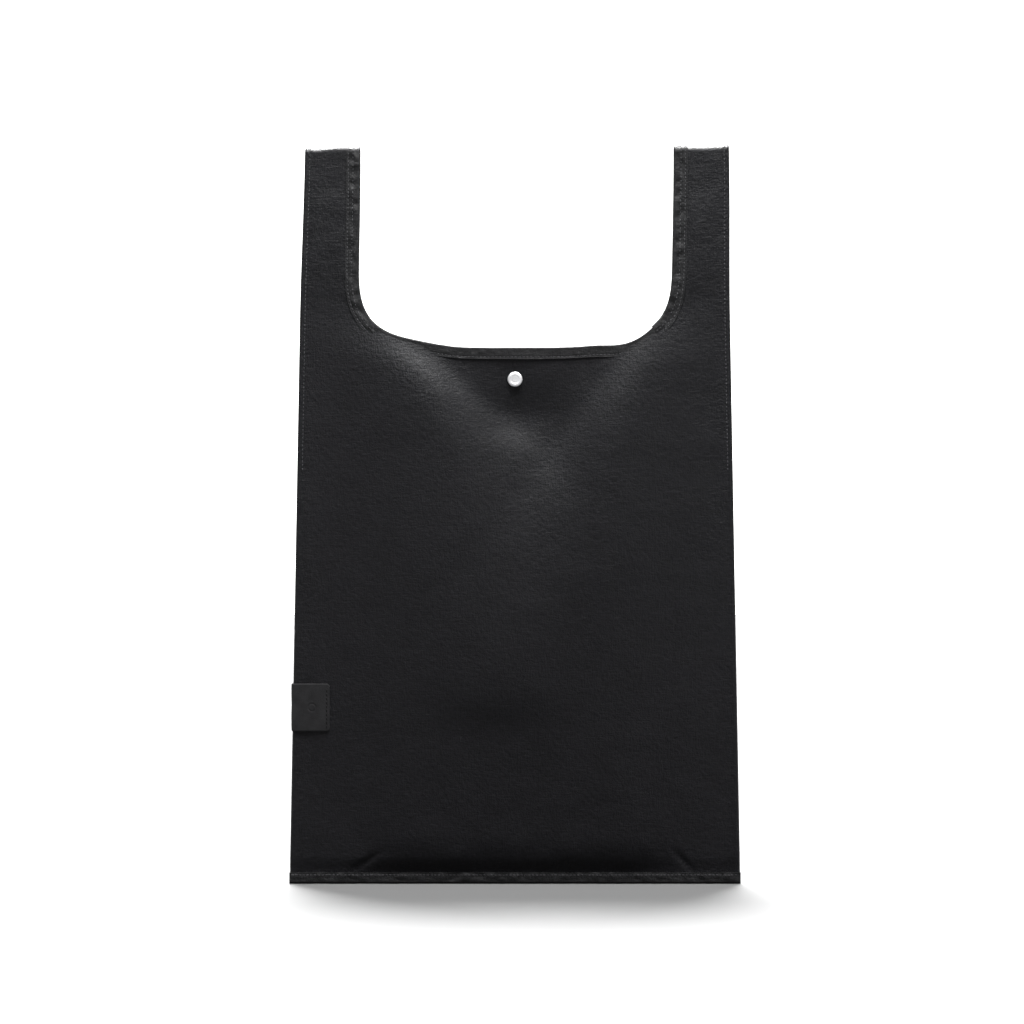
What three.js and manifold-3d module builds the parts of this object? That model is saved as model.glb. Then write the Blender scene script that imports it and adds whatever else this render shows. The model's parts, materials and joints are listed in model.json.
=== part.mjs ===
// A foldable tote bag, empty and standing upright on its bottom seam.
// Millimetres. +Z up, the front faces -Y, the origin is the middle of the underside of the bottom seam.
// Every cloth piece is a thin closed solid. Cloth that bends in use is split where it bends.
import * as THREE from 'three';
import Module from 'manifold-3d';
import { mergeVertices } from 'three/addons/utils/BufferGeometryUtils.js';

// ---- driving dimensions ----
const BOTTOM_HALF_WIDTH = 180.2;
const SIDE_SLOPE = 0.0186; // the sides lean in by this much for each millimetre of height
const BAG_HEIGHT = 590;
const CLOTH = 0.8;
const GAP = 0.3; // between pieces that touch
const PANEL_Y = 4.2; // outer face of a panel at the bag's edges and neck
const FRONT_BELLY = 12.5;
const BACK_BELLY = 3.8;
const BELLY_EDGE_X = 146; // the belly dies out here, so the edges stay flat

const SEAM_HEIGHT = 9;
const SEAM_HALF_WIDTH = 180.4;
const SEAM_Y = 4.0;
const SEAM_PANEL_Y = 3.0; // outer face of a panel inside the seam
const SEAM_FLOOR = 1.5;

const NECK_CENTRE_Z = 500;
const NECK_HALF_WIDTH = 125.5;
const NECK_DEPTH = 72;
const NECK_POWER = 3.5;
const BINDING_WIDTH = 9;
const BINDING = 0.6;

const FOLD_Z = 295; // the bag folds in half here
const MOUTH_Z = 330; // the front panel bends here as the mouth opens
const MOUTH_HALF_WIDTH = 110;
const HANDLE_Z = 465;

const HANDLE_INNER_Y = 3.4;
const HANDLE_CLOTH = 1.4; // panel cloth and gusset cloth sewn together
const CROWN_FLAT_Y = 2.2; // half width of the flat underside of a handle's top

const GUSSET_DEPTH = 60;
const GUSSET_TOP_Z = 438;

const SNAP_Z = 403;
const TAB_LOW = 122;
const TAB_HIGH = 160;
const TAB_INNER_X = 148;
const LEATHER = 1.2;

// ---- materials ----
const cloth = () => new THREE.MeshStandardMaterial({ color: 0x242426, roughness: 0.9, metalness: 0 });
const tape = () => new THREE.MeshStandardMaterial({ color: 0x29292b, roughness: 0.85, metalness: 0 });
const leather = () => new THREE.MeshStandardMaterial({ color: 0x2b2b2d, roughness: 0.55, metalness: 0 });
const metal = () => new THREE.MeshStandardMaterial({ color: 0xc5c5c7, roughness: 0.35, metalness: 0.9 });

const bag = new THREE.Group();
bag.name = 'foldable_tote_bag';

function add(name, geometry, material) {
  const mesh = new THREE.Mesh(geometry, material);
  mesh.name = name;
  bag.add(mesh);
}

// ---- outlines ----
const clamp01 = (t) => Math.min(1, Math.max(0, t));
const smooth = (t) => clamp01(t) ** 2 * (3 - 2 * clamp01(t));
const halfWidth = (z) => BOTTOM_HALF_WIDTH - SIDE_SLOPE * z;

// A point of the neck's outline, moved away from the opening by inset. turn runs from 0 at the middle
// of the neck to 1 at the level where the handles' inner edges are straight.
function neckPoint(turn, inset) {
  const angle = (turn * Math.PI) / 2;
  const x = (NECK_HALF_WIDTH + inset) * Math.sin(angle) ** (2 / NECK_POWER);
  const z = NECK_CENTRE_Z - (NECK_DEPTH + inset) * Math.cos(angle) ** (2 / NECK_POWER);
  return [x, z];
}

// The neck's height at x, or the handles' start where the neck is steeper than that.
function neckHeight(x, inset) {
  const across = Math.abs(x) / (NECK_HALF_WIDTH + inset);
  if (across >= 1) return HANDLE_Z;
  const drop = (NECK_DEPTH + inset) * (1 - across ** NECK_POWER) ** (1 / NECK_POWER);
  return Math.min(HANDLE_Z, NECK_CENTRE_Z - drop);
}

// The inner edge of a handle at height z.
function handleInnerX(z, inset) {
  const down = Math.max(0, NECK_CENTRE_Z - z) / (NECK_DEPTH + inset);
  return (NECK_HALF_WIDTH + inset) * (1 - down ** NECK_POWER) ** (1 / NECK_POWER);
}

const turnAt = (x) => (Math.asin((x / NECK_HALF_WIDTH) ** (NECK_POWER / 2)) * 2) / Math.PI;
const turnAtZ = (z) => (Math.acos(((NECK_CENTRE_Z - z) / NECK_DEPTH) ** (NECK_POWER / 2)) * 2) / Math.PI;

// How far a panel's outer face stands from the middle plane. The belly starts above the bottom seam,
// ends at a V drawn from the roots of the handles to the middle, and leaves the neck's edge flat.
function panelDepth(x, z, belly) {
  if (z <= SEAM_HEIGHT + 1) return SEAM_PANEL_Y;
  const foot = smooth((z - SEAM_HEIGHT - 1) / 14) * (PANEL_Y - SEAM_PANEL_Y);
  const across = 1 - smooth((Math.abs(x) - 30) / (BELLY_EDGE_X - 30));
  const rise = 1 - (1 - clamp01((z - SEAM_HEIGHT - 1) / 70)) ** 2;
  const ridge = 345 + (Math.abs(x) / 110) * 95;
  const fall = 1 - smooth((z - ridge + 45) / 75);
  const neck = smooth((neckHeight(x, 0) - BINDING_WIDTH - 5 - z) / 30);
  return SEAM_PANEL_Y + foot + belly * across * rise * fall * neck;
}

// ---- solids ----
// A closed solid between two sheets of points, each rows x columns. The first faces the viewer when
// the columns run to the right and the rows run up.
function slab(nearRows, farRows) {
  const rows = nearRows.length;
  const columns = nearRows[0].length;
  const points = [...nearRows.flat(), ...farRows.flat()];
  const far = rows * columns;
  const at = (r, c) => r * columns + c;
  const faces = [];
  const quad = (a, b, c, d) => faces.push(a, b, c, a, c, d);
  for (let r = 0; r + 1 < rows; r += 1) {
    for (let c = 0; c + 1 < columns; c += 1) {
      quad(at(r, c), at(r, c + 1), at(r + 1, c + 1), at(r + 1, c));
      quad(far + at(r, c), far + at(r + 1, c), far + at(r + 1, c + 1), far + at(r, c + 1));
    }
  }
  for (let c = 0; c + 1 < columns; c += 1) {
    quad(at(0, c), far + at(0, c), far + at(0, c + 1), at(0, c + 1));
    const r = rows - 1;
    quad(at(r, c), at(r, c + 1), far + at(r, c + 1), far + at(r, c));
  }
  for (let r = 0; r + 1 < rows; r += 1) {
    quad(at(r, 0), at(r + 1, 0), far + at(r + 1, 0), far + at(r, 0));
    const c = columns - 1;
    quad(at(r, c), far + at(r, c), far + at(r + 1, c), at(r + 1, c));
  }
  return toGeometry(points, faces);
}

// A closed solid through rings of points. Each ring is the same outline at another station. caps are
// the outline's corners in its own plane, from which the two end faces are cut into triangles.
function loft(rings, caps) {
  const count = caps.length;
  const points = rings.flat();
  const faces = [];
  const shape = caps.map(([u, v]) => new THREE.Vector2(u, v));
  const turn = THREE.ShapeUtils.area(shape) > 0;
  const triangle = (a, b, c) => (turn ? faces.push(a, b, c) : faces.push(a, c, b));
  for (let s = 0; s + 1 < rings.length; s += 1) {
    for (let i = 0; i < count; i += 1) {
      const j = (i + 1) % count;
      const low = s * count;
      const high = low + count;
      triangle(low + i, low + j, high + j);
      triangle(low + i, high + j, high + i);
    }
  }
  const last = (rings.length - 1) * count;
  for (const [a, b, c] of THREE.ShapeUtils.triangulateShape(shape, [])) {
    const flat = THREE.ShapeUtils.area([shape[a], shape[b], shape[c]]) > 0;
    const [p, q] = flat === turn ? [b, c] : [c, b];
    triangle(a, q, p);
    triangle(last + a, last + p, last + q);
  }
  return toGeometry(points, faces);
}

function toGeometry(points, faces) {
  const geometry = new THREE.BufferGeometry();
  geometry.setAttribute('position', new THREE.Float32BufferAttribute(points.flat(), 3));
  geometry.setIndex(faces);
  return geometry;
}

// Turns a closed solid inside out where it was built by mirroring.
function facesOut(geometry) {
  const p = geometry.getAttribute('position');
  const index = geometry.getIndex().array;
  let volume = 0;
  const corner = (i) => new THREE.Vector3().fromBufferAttribute(p, i);
  for (let i = 0; i < index.length; i += 3) {
    const [a, b, c] = [corner(index[i]), corner(index[i + 1]), corner(index[i + 2])];
    volume += a.dot(b.cross(c));
  }
  if (volume < 0) {
    const flipped = [];
    for (let i = 0; i < index.length; i += 3) flipped.push(index[i], index[i + 2], index[i + 1]);
    geometry.setIndex(flipped);
  }
  return geometry;
}

const spread = (from, to, steps) => Array.from({ length: steps + 1 }, (_, i) => from + ((to - from) * i) / steps);

const wasm = await Module();
wasm.setup();

function toManifold(geometry) {
  let clean = geometry.clone();
  clean.deleteAttribute('normal');
  clean.deleteAttribute('uv');
  clean = mergeVertices(clean, 1e-4);
  const vertProperties = new Float32Array(clean.getAttribute('position').array);
  const triVerts = new Uint32Array(clean.getIndex().array);
  return new wasm.Manifold(new wasm.Mesh({ numProp: 3, vertProperties, triVerts }));
}

function fromManifold(solid) {
  const mesh = solid.getMesh();
  const geometry = new THREE.BufferGeometry();
  geometry.setAttribute('position', new THREE.BufferAttribute(mesh.vertProperties, 3));
  geometry.setIndex(new THREE.BufferAttribute(mesh.triVerts, 1));
  return geometry;
}

// A cylinder along Y through the snap's middle, from y0 to y1.
function snapCylinder(radius, y0, y1) {
  const geometry = new THREE.CylinderGeometry(radius, radius, y1 - y0, 24);
  geometry.translate(0, (y0 + y1) / 2, SNAP_Z);
  return geometry;
}

const SNAP_HOLE = 2.3;

function punched(geometry) {
  const hole = toManifold(snapCylinder(SNAP_HOLE, -20, 20));
  return fromManifold(toManifold(facesOut(geometry)).subtract(hole));
}

// ---- panels ----
const edgeInset = BINDING + 2 * GAP; // from the neck's outline to the cloth inside its binding
const BESIDE_MOUTH = MOUTH_HALF_WIDTH + 2 * GAP;

// Places along the neck where the cloth and its binding both have a corner, so that they run parallel.
const mouthHalfTurns = [22, 44, 62, 76, 88, 97].map(turnAt);
const mouthEndTurn = turnAt(MOUTH_HALF_WIDTH - 6.5); // its tape still reaches the panel's side edge
const shoulderTurns = [BESIDE_MOUTH + 0.4, 114.5, 118, 120.3].map(turnAt);
const rootTurn = turnAtZ(HANDLE_Z - 2);
const mirrored = (turns) => [...turns].reverse().map((t) => -t).concat([0], turns);

const GUESS_Z = 440; // the level at which a column's place across the panel is exact
const NECK_HEM = BINDING_WIDTH + 2;

// A panel between low(x) and high(x), with side edges left(z) and right(z). side is -1 for the front
// and 1 for the back. stops are the columns' places from 0 at the left edge to 1 at the right. rows are
// spaced evenly up to the flat hem under the upper edge, and one more row is the edge itself.
function panel(side, belly, left, right, low, high, hem, stops, rows) {
  const grid = (inset) => spread(0, rows, rows).map((row) => stops.map((u) => {
    const guess = left(GUESS_Z) + (right(GUESS_Z) - left(GUESS_Z)) * u;
    const evenly = (high(guess) - hem - low(guess)) / Math.max(1, rows - 1);
    const z = row === rows ? high(guess) : low(guess) + evenly * row;
    const x = left(z) + (right(z) - left(z)) * u;
    return [x, side * (panelDepth(x, z, belly) - inset), z];
  }));
  return facesOut(side < 0 ? slab(grid(0), grid(CLOTH)) : slab(grid(CLOTH), grid(0)));
}

const leftEdge = (z) => -halfWidth(z);
const rightEdge = (z) => halfWidth(z);
const fixed = (value) => () => value;
const fullStops = [0, 0.095, 0.2, 0.31, 0.42, 0.5, 0.58, 0.69, 0.8, 0.905, 1];

// The lower half's rows are closer near the seam, where the belly curls in.
function lowerPanel(side, belly) {
  const heights = [SEAM_FLOOR, SEAM_HEIGHT + 1, 18, 30, 50, 80, 180, FOLD_Z - GAP];
  const grid = (inset) => heights.map((z) => fullStops.map((u) => {
    const x = leftEdge(z) + (rightEdge(z) - leftEdge(z)) * u;
    return [x, side * (panelDepth(x, z, belly) - inset), z];
  }));
  return facesOut(side < 0 ? slab(grid(0), grid(CLOTH)) : slab(grid(CLOTH), grid(0)));
}

add('front_panel_lower', lowerPanel(-1, FRONT_BELLY), cloth());
add('back_panel_lower', lowerPanel(1, BACK_BELLY), cloth());

add('front_panel_upper', panel(-1, FRONT_BELLY, leftEdge, rightEdge,
  fixed(FOLD_Z + GAP), fixed(MOUTH_Z - GAP), 0, fullStops, 1), cloth());

// Columns for a panel of the given half width, one at each place along the neck.
function stopsAt(turns, half) {
  return mirrored(turns).map((turn) => {
    const x = Math.sign(turn) * neckPoint(Math.abs(turn), edgeInset)[0];
    return (x + half) / (2 * half);
  });
}

const mouthStops = [0, ...stopsAt([...mouthHalfTurns, mouthEndTurn], MOUTH_HALF_WIDTH), 1];
add('front_mouth_panel', punched(panel(-1, FRONT_BELLY, fixed(-MOUTH_HALF_WIDTH), fixed(MOUTH_HALF_WIDTH),
  fixed(MOUTH_Z + GAP), (x) => neckHeight(x, edgeInset), NECK_HEM, mouthStops, 5)), cloth());

// The shoulders run up beside the mouth to the handles. Their inner edge leaves room for the mouth.
function shoulder(mirror) {
  const corner = neckHeight(BESIDE_MOUTH, edgeInset);
  const along = shoulderTurns.slice(1).concat([rootTurn]).map((t) => neckPoint(t, edgeInset));
  const beside = [MOUTH_Z + GAP, 380, 415, corner].map((z) => [BESIDE_MOUTH, z]);
  const inner = [...beside, ...along, [handleInnerX(HANDLE_Z, edgeInset), HANDLE_Z - GAP]];
  const grid = (inset) => inner.map(([x0, z]) => [0, 0.33, 0.66, 1].map((u) => {
    const x = x0 + (halfWidth(z) - x0) * u;
    return [mirror * x, -(panelDepth(x, z, FRONT_BELLY) - inset), z];
  }));
  return facesOut(slab(grid(0), grid(CLOTH)));
}

add('left_shoulder_front', shoulder(-1), cloth());
add('right_shoulder_front', shoulder(1), cloth());

const backTurns = [...mouthHalfTurns, mouthEndTurn, ...shoulderTurns.slice(1), rootTurn];
const backStops = [0, 0.07, ...stopsAt(backTurns, halfWidth(GUESS_Z)), 0.93, 1];
add('back_panel_upper', punched(panel(1, BACK_BELLY, leftEdge, rightEdge, fixed(FOLD_Z + GAP),
  (x) => Math.min(HANDLE_Z - GAP, neckHeight(x, edgeInset)), NECK_HEM, backStops, 4)), cloth());

// ---- gussets, folded inwards as a V that opens at the side ----
function gusset(mirror, heights) {
  const wall = (z) => (z <= SEAM_HEIGHT + 1 ? 1.5 : 1.5 + smooth((z - SEAM_HEIGHT - 1) / 20) * 1.2);
  const ring = (z) => {
    const outer = halfWidth(z) - 1.2;
    const inner = halfWidth(z) - GUSSET_DEPTH;
    const w = wall(z);
    const half = CLOTH / 2;
    return [
      [outer, -w - half], [outer, -w + half], [inner + 1.5, -0.1], [inner + 1.5, 0.1],
      [outer, w - half], [outer, w + half], [inner, 0.9], [inner - 0.6, 0], [inner, -0.9],
    ];
  };
  const rings = heights.map((z) => ring(z).map(([x, y]) => [mirror * x, y, z]));
  return facesOut(loft(rings, ring(heights[0])));
}

for (const [side, mirror] of [['left', -1], ['right', 1]]) {
  add(`${side}_gusset_lower`, gusset(mirror, [SEAM_FLOOR, SEAM_HEIGHT + 1, 30, FOLD_Z - GAP]), cloth());
  add(`${side}_gusset_upper`, gusset(mirror, [FOLD_Z + GAP, GUSSET_TOP_Z]), cloth());
}

// ---- bottom seam binding, a channel that holds the lower edge of every panel ----
const channel = [
  [-SEAM_Y, 0], [SEAM_Y, 0], [SEAM_Y, SEAM_HEIGHT], [SEAM_PANEL_Y + GAP, SEAM_HEIGHT],
  [SEAM_PANEL_Y + GAP, SEAM_FLOOR - GAP], [-SEAM_PANEL_Y - GAP, SEAM_FLOOR - GAP],
  [-SEAM_PANEL_Y - GAP, SEAM_HEIGHT], [-SEAM_Y, SEAM_HEIGHT],
];
add('bottom_binding', facesOut(loft(
  [-SEAM_HALF_WIDTH, SEAM_HALF_WIDTH].map((x) => channel.map(([y, z]) => [x, y, z])), channel)), tape());

// ---- edge bindings, a tape folded over the edge of a panel ----
// middleY is the panel's mid plane, thick its thickness. path gives each station's point on the outer
// edge and the direction into the cloth, both as [x, z].
function edgeBinding(path, middleY, thick) {
  const inside = thick / 2 + GAP;
  const outside = inside + BINDING;
  const outline = [
    [0, -outside], [BINDING_WIDTH, -outside], [BINDING_WIDTH, -inside], [BINDING, -inside],
    [BINDING, inside], [BINDING_WIDTH, inside], [BINDING_WIDTH, outside], [0, outside],
  ];
  const rings = path.map(([[x, z], [dx, dz]]) => outline.map(([d, y]) => [x + dx * d, middleY + y, z + dz * d]));
  return facesOut(loft(rings, outline));
}

// Stations along the neck between two turns, from the middle outwards on the side given by mirror.
function neckPath(turns) {
  return turns.map((turn) => {
    const mirror = Math.sign(turn) || 1;
    const [x, z] = neckPoint(Math.abs(turn), 0);
    const [x2, z2] = neckPoint(Math.abs(turn), 1);
    const length = Math.hypot(x2 - x, z2 - z);
    return [[mirror * x, z], [(mirror * (x2 - x)) / length, (z2 - z) / length]];
  });
}

const neckMiddleY = PANEL_Y - CLOTH / 2;
const mouthTurns = mirrored([...mouthHalfTurns, mouthEndTurn]);
add('neckline_binding_front', edgeBinding(neckPath(mouthTurns), -neckMiddleY, CLOTH), tape());
add('neckline_binding_back', edgeBinding(neckPath(mirrored(backTurns)), neckMiddleY, CLOTH), tape());

for (const [side, mirror] of [['left', -1], ['right', 1]]) {
  const turns = [...shoulderTurns, rootTurn].map((t) => mirror * t);
  add(`${side}_shoulder_binding`, edgeBinding(neckPath(turns), -neckMiddleY, CLOTH), tape());
}

// ---- handles: two strips joined by a crown at the top, with bound inner edges ----
const crownZ = BAG_HEIGHT - HANDLE_CLOTH - HANDLE_INNER_Y; // the strips end and the crown begins here
const handleHeights = [HANDLE_Z + GAP, 471, 478, 488, NECK_CENTRE_Z, crownZ - GAP];

function handleStrip(mirror, side) {
  const grid = (y) => handleHeights.map((z) => [
    [mirror * (handleInnerX(z, edgeInset)), side * y, z], [mirror * halfWidth(z), side * y, z],
  ]);
  return facesOut(slab(grid(HANDLE_INNER_Y), grid(HANDLE_INNER_Y + HANDLE_CLOTH)));
}

function handleCrown(mirror) {
  const outer = HANDLE_INNER_Y + HANDLE_CLOTH;
  const bend = HANDLE_INNER_Y - CROWN_FLAT_Y;
  const arch = [
    [-outer, 0], [-outer, bend], [-CROWN_FLAT_Y - 0.6, HANDLE_INNER_Y + HANDLE_CLOTH],
    [CROWN_FLAT_Y + 0.6, HANDLE_INNER_Y + HANDLE_CLOTH], [outer, bend], [outer, 0],
    [HANDLE_INNER_Y, 0], [HANDLE_INNER_Y, bend], [CROWN_FLAT_Y, HANDLE_INNER_Y],
    [-CROWN_FLAT_Y, HANDLE_INNER_Y], [-HANDLE_INNER_Y, bend], [-HANDLE_INNER_Y, 0],
  ];
  const xs = [NECK_HALF_WIDTH, halfWidth(BAG_HEIGHT)];
  return facesOut(loft(xs.map((x) => arch.map(([y, z]) => [mirror * x, y, crownZ + z])), arch));
}

function handleBinding(mirror, side) {
  const path = handleHeights.map((z) => [[mirror * handleInnerX(z, 0), z], [mirror, 0]]);
  return edgeBinding(path, side * (HANDLE_INNER_Y + HANDLE_CLOTH / 2), HANDLE_CLOTH);
}

for (const [name, mirror] of [['left', -1], ['right', 1]]) {
  add(`${name}_handle_front_strip`, handleStrip(mirror, -1), cloth());
  add(`${name}_handle_back_strip`, handleStrip(mirror, 1), cloth());
  add(`${name}_handle_crown`, handleCrown(mirror), cloth());
  add(`${name}_handle_binding_front`, handleBinding(mirror, -1), tape());
  add(`${name}_handle_binding_back`, handleBinding(mirror, 1), tape());
}

// ---- leather tab, folded round the left edge and open towards the middle ----
function leatherTab() {
  const near = PANEL_Y + GAP;
  const far = near + LEATHER;
  const ring = (z) => {
    const edge = halfWidth(z) + GAP;
    return [
      [-TAB_INNER_X, -far], [-edge - LEATHER, -far], [-edge - LEATHER, far], [-TAB_INNER_X, far],
      [-TAB_INNER_X, near], [-edge, near], [-edge, -near], [-TAB_INNER_X, -near],
    ];
  };
  const rings = [TAB_LOW, TAB_HIGH].map((z) => ring(z).map(([x, y]) => [x, y, z]));
  return facesOut(loft(rings, ring(TAB_LOW)));
}
add('leather_tab', leatherTab(), leather());

// ---- snap fastener, closed: cap and socket on the front panel, stud and post on the back ----
// Each is turned about the snap's axis. Profiles run along the axis, [radius, y], and close on it.
function turned(profile) {
  const geometry = new THREE.LatheGeometry(profile.map(([r, y]) => new THREE.Vector2(r, y)), 28);
  geometry.deleteAttribute('normal');
  geometry.deleteAttribute('uv');
  const clean = mergeVertices(geometry, 1e-4);
  clean.translate(0, 0, SNAP_Z);
  return facesOut(withoutSlivers(clean));
}

// Drops the triangles that fell together where a profile meets the axis.
function withoutSlivers(geometry) {
  const index = geometry.getIndex().array;
  const kept = [];
  for (let i = 0; i < index.length; i += 3) {
    const [a, b, c] = [index[i], index[i + 1], index[i + 2]];
    if (a !== b && b !== c && a !== c) kept.push(a, b, c);
  }
  geometry.setIndex(kept);
  return geometry;
}

const capBack = -PANEL_Y - GAP;
const PATCH = 0.3; // thickness of the reinforcement patches, less the gap to the panel
const patchFar = PANEL_Y - CLOTH - 2 * GAP - PATCH; // their inner face
add('snap_cap', turned([
  [0, capBack - 1.6], [3.6, capBack - 1.5], [5.4, capBack - 1.1], [6, capBack - 0.5], [6, capBack],
  [1.8, capBack], [1.8, -patchFar], [0, -patchFar],
]), metal());
add('snap_socket', turned([
  [0, -patchFar + GAP], [5.3, -patchFar + GAP], [5.3, 0.4], [4.9, 0.8], [2.7, 0.8], [2.7, -1.5], [0, -1.5],
]), metal());
add('snap_stud', turned([
  [0, patchFar - GAP], [5.2, patchFar - GAP], [5.2, 1.5], [4.8, 1.2], [1.9, 1.2], [1.9, 0.2], [2.2, -0.3],
  [1.9, -0.8], [1.3, -1.1], [0, -1.1],
]), metal());
add('snap_post', turned([
  [0, patchFar], [1.8, patchFar], [1.8, PANEL_Y + GAP], [5.5, PANEL_Y + GAP], [5.5, PANEL_Y + 1.1],
  [4.9, PANEL_Y + 1.5], [0, PANEL_Y + 1.5],
]), metal());

function patch(side) {
  const near = PANEL_Y - CLOTH - GAP;
  const geometry = new THREE.BoxGeometry(24, near - patchFar, 24);
  geometry.translate(0, (side * (near + patchFar)) / 2, SNAP_Z);
  return punched(geometry);
}
add('front_snap_patch', patch(-1), tape());
add('back_snap_patch', patch(1), tape());

export default bag;
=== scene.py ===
"""The looks of a foldable tote bag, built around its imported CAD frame.

Shapes are worked out in millimetres with numpy and become metres when a mesh is made. x runs to the
viewer's right, y away from the viewer and z up. A panel's depth is how far its outer face stands from
the bag's middle plane, so the front's y is minus its depth and the back's y is its depth.
"""
import json
import math

import bpy
import numpy as np
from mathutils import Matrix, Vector
from mathutils.bvhtree import BVHTree


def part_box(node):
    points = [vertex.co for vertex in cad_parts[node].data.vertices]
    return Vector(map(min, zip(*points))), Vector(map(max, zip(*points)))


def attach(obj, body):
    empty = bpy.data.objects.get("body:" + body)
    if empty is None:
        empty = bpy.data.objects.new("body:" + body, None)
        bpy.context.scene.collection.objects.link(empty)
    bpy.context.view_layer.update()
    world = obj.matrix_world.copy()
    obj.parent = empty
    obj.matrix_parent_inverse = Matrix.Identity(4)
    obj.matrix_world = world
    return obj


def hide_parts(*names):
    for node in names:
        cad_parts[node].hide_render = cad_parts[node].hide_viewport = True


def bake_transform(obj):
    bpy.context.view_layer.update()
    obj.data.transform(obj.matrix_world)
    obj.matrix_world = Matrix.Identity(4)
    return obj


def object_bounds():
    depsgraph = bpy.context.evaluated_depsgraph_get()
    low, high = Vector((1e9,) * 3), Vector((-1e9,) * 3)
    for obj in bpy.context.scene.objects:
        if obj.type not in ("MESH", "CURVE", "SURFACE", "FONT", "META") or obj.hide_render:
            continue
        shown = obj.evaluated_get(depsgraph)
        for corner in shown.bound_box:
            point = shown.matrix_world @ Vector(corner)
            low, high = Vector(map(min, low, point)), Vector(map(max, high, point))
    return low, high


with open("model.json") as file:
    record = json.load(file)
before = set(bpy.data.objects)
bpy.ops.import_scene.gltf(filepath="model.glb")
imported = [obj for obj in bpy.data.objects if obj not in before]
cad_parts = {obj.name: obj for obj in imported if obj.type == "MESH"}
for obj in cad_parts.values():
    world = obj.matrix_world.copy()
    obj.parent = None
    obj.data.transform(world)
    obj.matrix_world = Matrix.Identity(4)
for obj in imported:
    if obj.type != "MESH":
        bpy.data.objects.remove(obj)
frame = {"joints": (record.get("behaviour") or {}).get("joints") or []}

cad_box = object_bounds()
MM = 0.001


# ---- sizes taken from the frame
def node_box(*nodes):
    """The lowest and highest corners of CAD nodes, in millimetres."""
    boxes = [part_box(node) for node in nodes]
    low = np.min([np.array(box[0]) for box in boxes], axis=0)
    high = np.max([np.array(box[1]) for box in boxes], axis=0)
    return low / MM, high / MM


SEAM_HIGH = node_box("bottom_binding")[1]
SEAM_HALF = SEAM_HIGH[0]
SEAM_TOP = SEAM_HIGH[2]
SEAM_Y = SEAM_HIGH[1]
CROWN_LOW, CROWN_HIGH = node_box("right_handle_crown")
BAG_TOP = CROWN_HIGH[2]
HANDLE_Y = CROWN_HIGH[1]
NECK_HALF = CROWN_LOW[0]
TOP_HALF = CROWN_HIGH[0]
BOTTOM_HALF = node_box("front_panel_lower")[1][0]
SIDE_SLOPE = (BOTTOM_HALF - TOP_HALF) / BAG_TOP
TAB_LOW, TAB_HIGH = node_box("leather_tab")
CAP_LOW, CAP_HIGH = node_box("snap_cap")
SNAP_X, _, SNAP_Z = (CAP_LOW + CAP_HIGH) / 2
CAP_RADIUS = (CAP_HIGH[0] - CAP_LOW[0]) / 2
PANEL_Y = 4.2  # a panel's depth where nothing swells it
SEAM_DEPTH = 3.1  # a panel's depth where the bottom seam holds it
BINDING_WIDTH = 9.0
NECK_INSET = 0.6  # the cloth ends this far inside its binding
NECK_LOW = node_box("neckline_binding_front")[0][2] + BINDING_WIDTH
NECK_CENTRE = 500.0
NECK_POWER = 3.5  # how square the neck's corners are, 2 being an ellipse
NECK_DEPTH = NECK_CENTRE - NECK_LOW
ROOT_Z = 450.0  # the cloth of a handle starts here
CLOTH = 0.55
TAPE = 0.4
SEAM_TAPE = 0.5
STRAP = 1.1  # two layers sewn together
GUSSET_DEPTH = 60.0
GUSSET_TOP = node_box("left_gusset_upper")[1][2]
SIDES = {"left": -1, "right": 1}
FACES = {"front": -1, "back": 1}
hinge_heights = {joint["name"]: joint["pos_m"][2] / MM for joint in frame["joints"]}
MOUTH_Z = hinge_heights["mouth_open"]


# ---- number helpers
def smooth(t):
    t = np.clip(t, 0, 1)
    return t * t * (3 - 2 * t)


def bump_at(t):
    """A smooth hump, 1 at 0 and nothing past 1 either way."""
    return smooth(1 - np.abs(t))


def noise(u, v, seed):
    """Smooth noise from -1 to 1 on a grid of unit cells, the same for the same seed."""
    table = np.random.default_rng(seed).uniform(-1, 1, (128, 128))
    u, v = np.broadcast_arrays(np.asarray(u, float), np.asarray(v, float))
    iu, iv = np.floor(u).astype(int), np.floor(v).astype(int)
    su, sv = smooth(u - iu), smooth(v - iv)

    def pick(a, b):
        return table[(iu + a) % 128, (iv + b) % 128]

    low = pick(0, 0) * (1 - su) + pick(1, 0) * su
    high = pick(0, 1) * (1 - su) + pick(1, 1) * su
    return low * (1 - sv) + high * sv


def layered(u, v, seed, layers=3):
    """Noise with finer and weaker layers on it."""
    total = 0
    for k in range(layers):
        total = total + noise(u * 2 ** k + 17 * k, v * 2 ** k + 31 * k, seed + k) * 0.5 ** k
    return total


def run_along(a, b):
    """Distance along a flat line at each of its points."""
    return np.concatenate([[0], np.cumsum(np.hypot(np.diff(a), np.diff(b)))])


# ---- the bag's outline
def half_width(z):
    return BOTTOM_HALF - SIDE_SLOPE * z


def neck_height(x, inset=0.0):
    """Height of the neck's edge at x, with the cloth cut back by inset."""
    across = np.clip(np.abs(x) / (NECK_HALF + inset), 0, 1)
    even = NECK_CENTRE - (NECK_DEPTH + inset) * (1 - across ** NECK_POWER) ** (1 / NECK_POWER)
    return even - neck_sag(x)


def neck_sag(x):
    """How far the worn neckline hangs below an even curve: down at the right, up a little at the left."""
    return 3.4 * bump_at((x - 92) / 32) - 1.7 * bump_at((x + 78) / 38)


def inner_edge(z, inset=0.0):
    """Distance of a handle's inner edge from the middle at height z."""
    down = np.clip((NECK_CENTRE - z) / (NECK_DEPTH + inset), 0, 1)
    return (NECK_HALF + inset) * (1 - down ** NECK_POWER) ** (1 / NECK_POWER)


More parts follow.
